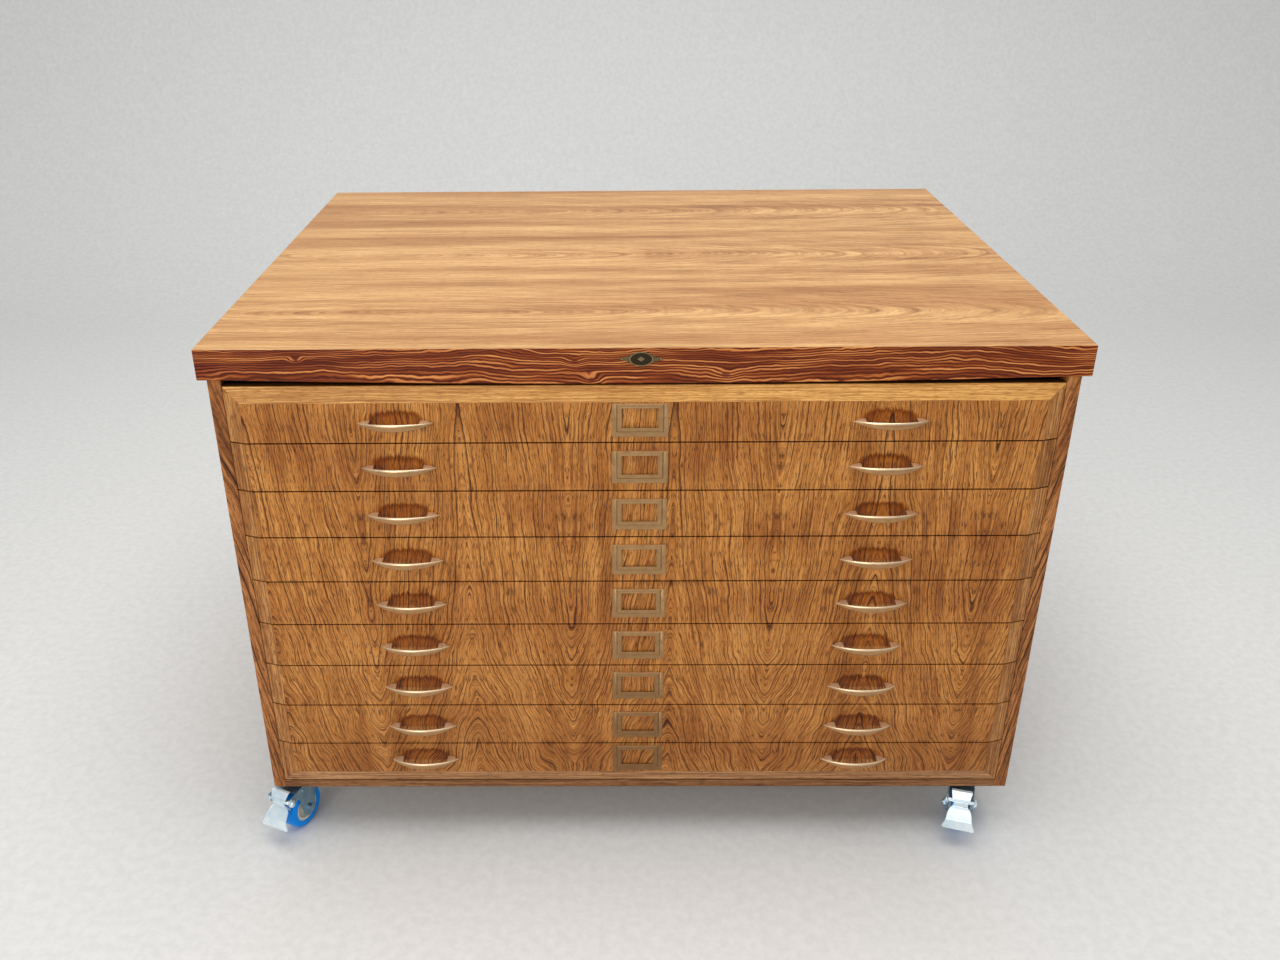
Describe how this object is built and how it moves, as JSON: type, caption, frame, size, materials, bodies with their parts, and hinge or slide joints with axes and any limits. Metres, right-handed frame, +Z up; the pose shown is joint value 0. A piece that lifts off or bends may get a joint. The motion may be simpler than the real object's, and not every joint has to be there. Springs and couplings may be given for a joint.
{
  "type": "flat file cabinet",
  "caption": "Low wide cabinet of shallow plan drawers with bow pulls and card frames, under a thick wooden top, rolling on braked swivel casters.",
  "frame": {"origin": "on the floor, under the middle of the cabinet's overall box", "axes": "+X to the cabinet's right seen from the front, +Y to its back, +Z up"},
  "size_m": [1.2563, 0.9942, 0.882],
  "materials": {
    "top_veneer": "satin lacquer over oak",
    "fir_edging": "stained fir, satin",
    "case_wood": "stained oak, satin",
    "drawer_veneer": "oak veneer, satin",
    "drawer_box_wood": "bare wood, sealed",
    "hidden_wood": "bare wood",
    "back_panel": "stained plywood",
    "pull_bronze": "satin bronze plate",
    "aged_brass": "aged, dull",
    "dark_bronze": "dark patina",
    "zinc_plate": "bright zinc plate",
    "blue_tread": "smooth polyurethane",
    "hub_plastic": "moulded"
  },
  "bodies": {
    "cabinet_case": {"top_panel": "top_veneer", "top_edging": "fir_edging", "case_left_side": "case_wood", "case_right_side": "case_wood", "case_back": "back_panel", "case_bottom": "hidden_wood", "case_front_rails": "case_wood", "drawer_runners": "hidden_wood", "nameplate": "dark_bronze", "caster_plates": "zinc_plate"},
    "drawer_1": {"drawer_1_front": "drawer_veneer", "drawer_1_box": "drawer_box_wood", "drawer_1_pulls": "pull_bronze", "drawer_1_label_frame": "aged_brass"},
    "drawer_2": {"drawer_2_front": "drawer_veneer", "drawer_2_box": "drawer_box_wood", "drawer_2_pulls": "pull_bronze", "drawer_2_label_frame": "aged_brass"},
    "drawer_3": {"drawer_3_front": "drawer_veneer", "drawer_3_box": "drawer_box_wood", "drawer_3_pulls": "pull_bronze", "drawer_3_label_frame": "aged_brass"},
    "drawer_4": {"drawer_4_front": "drawer_veneer", "drawer_4_box": "drawer_box_wood", "drawer_4_pulls": "pull_bronze", "drawer_4_label_frame": "aged_brass"},
    "drawer_5": {"drawer_5_front": "drawer_veneer", "drawer_5_box": "drawer_box_wood", "drawer_5_pulls": "pull_bronze", "drawer_5_label_frame": "aged_brass"},
    "drawer_6": {"drawer_6_front": "drawer_veneer", "drawer_6_box": "drawer_box_wood", "drawer_6_pulls": "pull_bronze", "drawer_6_label_frame": "aged_brass"},
    "drawer_7": {"drawer_7_front": "drawer_veneer", "drawer_7_box": "drawer_box_wood", "drawer_7_pulls": "pull_bronze", "drawer_7_label_frame": "aged_brass"},
    "drawer_8": {"drawer_8_front": "drawer_veneer", "drawer_8_box": "drawer_box_wood", "drawer_8_pulls": "pull_bronze", "drawer_8_label_frame": "aged_brass"},
    "drawer_9": {"drawer_9_front": "drawer_veneer", "drawer_9_box": "drawer_box_wood", "drawer_9_pulls": "pull_bronze", "drawer_9_label_frame": "aged_brass"},
    "caster_swivel_front_left": {"caster_fork_front_left": "zinc_plate"},
    "caster_wheel_front_left": {"caster_tyre_front_left": "blue_tread", "caster_hub_front_left": "hub_plastic"},
    "brake_front_left": {"brake_pedal_front_left": "zinc_plate"},
    "caster_swivel_front_right": {"caster_fork_front_right": "zinc_plate"},
    "caster_wheel_front_right": {"caster_tyre_front_right": "blue_tread", "caster_hub_front_right": "hub_plastic"},
    "brake_front_right": {"brake_pedal_front_right": "zinc_plate"},
    "caster_swivel_rear_left": {"caster_fork_rear_left": "zinc_plate"},
    "caster_wheel_rear_left": {"caster_tyre_rear_left": "blue_tread", "caster_hub_rear_left": "hub_plastic"},
    "caster_swivel_rear_right": {"caster_fork_rear_right": "zinc_plate"},
    "caster_wheel_rear_right": {"caster_tyre_rear_right": "blue_tread", "caster_hub_rear_right": "hub_plastic"}
  },
  "joints": [
    {"name": "drawer_1_slide", "type": "slide", "parent": "cabinet_case", "child": "drawer_1", "axis": [0, -1, 0], "range_m": [0, 0.6]},
    {"name": "drawer_2_slide", "type": "slide", "parent": "cabinet_case", "child": "drawer_2", "axis": [0, -1, 0], "range_m": [0, 0.6]},
    {"name": "drawer_3_slide", "type": "slide", "parent": "cabinet_case", "child": "drawer_3", "axis": [0, -1, 0], "range_m": [0, 0.6]},
    {"name": "drawer_4_slide", "type": "slide", "parent": "cabinet_case", "child": "drawer_4", "axis": [0, -1, 0], "range_m": [0, 0.6]},
    {"name": "drawer_5_slide", "type": "slide", "parent": "cabinet_case", "child": "drawer_5", "axis": [0, -1, 0], "range_m": [0, 0.6]},
    {"name": "drawer_6_slide", "type": "slide", "parent": "cabinet_case", "child": "drawer_6", "axis": [0, -1, 0], "range_m": [0, 0.6]},
    {"name": "drawer_7_slide", "type": "slide", "parent": "cabinet_case", "child": "drawer_7", "axis": [0, -1, 0], "range_m": [0, 0.6]},
    {"name": "drawer_8_slide", "type": "slide", "parent": "cabinet_case", "child": "drawer_8", "axis": [0, -1, 0], "range_m": [0, 0.6]},
    {"name": "drawer_9_slide", "type": "slide", "parent": "cabinet_case", "child": "drawer_9", "axis": [0, -1, 0], "range_m": [0, 0.6]},
    {"name": "swivel_front_left", "type": "hinge", "parent": "cabinet_case", "child": "caster_swivel_front_left", "pos_m": [-0.568, -0.392, 0.097], "axis": [0, 0, 1], "continuous": true},
    {"name": "wheel_front_left", "type": "hinge", "parent": "caster_swivel_front_left", "child": "caster_wheel_front_left", "pos_m": [-0.58152, -0.421, 0.0375], "axis": [0.9063, -0.4226, 0], "continuous": true},
    {"name": "brake_front_left_pedal", "type": "hinge", "parent": "caster_swivel_front_left", "child": "brake_front_left", "pos_m": [-0.59927, -0.45907, 0.08], "axis": [0.9063, -0.4226, 0], "range_deg": [0, 14]},
    {"name": "swivel_front_right", "type": "hinge", "parent": "cabinet_case", "child": "caster_swivel_front_right", "pos_m": [0.558, -0.392, 0.097], "axis": [0, 0, 1], "continuous": true},
    {"name": "wheel_front_right", "type": "hinge", "parent": "caster_swivel_front_right", "child": "caster_wheel_front_right", "pos_m": [0.54864, -0.4226, 0.0375], "axis": [0.9563, -0.2924, 0], "continuous": true},
    {"name": "brake_front_right_pedal", "type": "hinge", "parent": "caster_swivel_front_right", "child": "brake_front_right", "pos_m": [0.53636, -0.46277, 0.08], "axis": [0.9563, -0.2924, 0], "range_deg": [0, 14]},
    {"name": "swivel_rear_left", "type": "hinge", "parent": "cabinet_case", "child": "caster_swivel_rear_left", "pos_m": [-0.568, 0.416, 0.097], "axis": [0, 0, 1], "continuous": true},
    {"name": "wheel_rear_left", "type": "hinge", "parent": "caster_swivel_rear_left", "child": "caster_wheel_rear_left", "pos_m": [-0.57947, 0.38613, 0.0375], "axis": [0.9336, -0.3584, 0], "continuous": true},
    {"name": "swivel_rear_right", "type": "hinge", "parent": "cabinet_case", "child": "caster_swivel_rear_right", "pos_m": [0.558, 0.416, 0.097], "axis": [0, 0, 1], "continuous": true},
    {"name": "wheel_rear_right", "type": "hinge", "parent": "caster_swivel_rear_right", "child": "caster_wheel_rear_right", "pos_m": [0.55026, 0.38495, 0.0375], "axis": [0.9703, -0.2419, 0], "continuous": true}
  ]
}
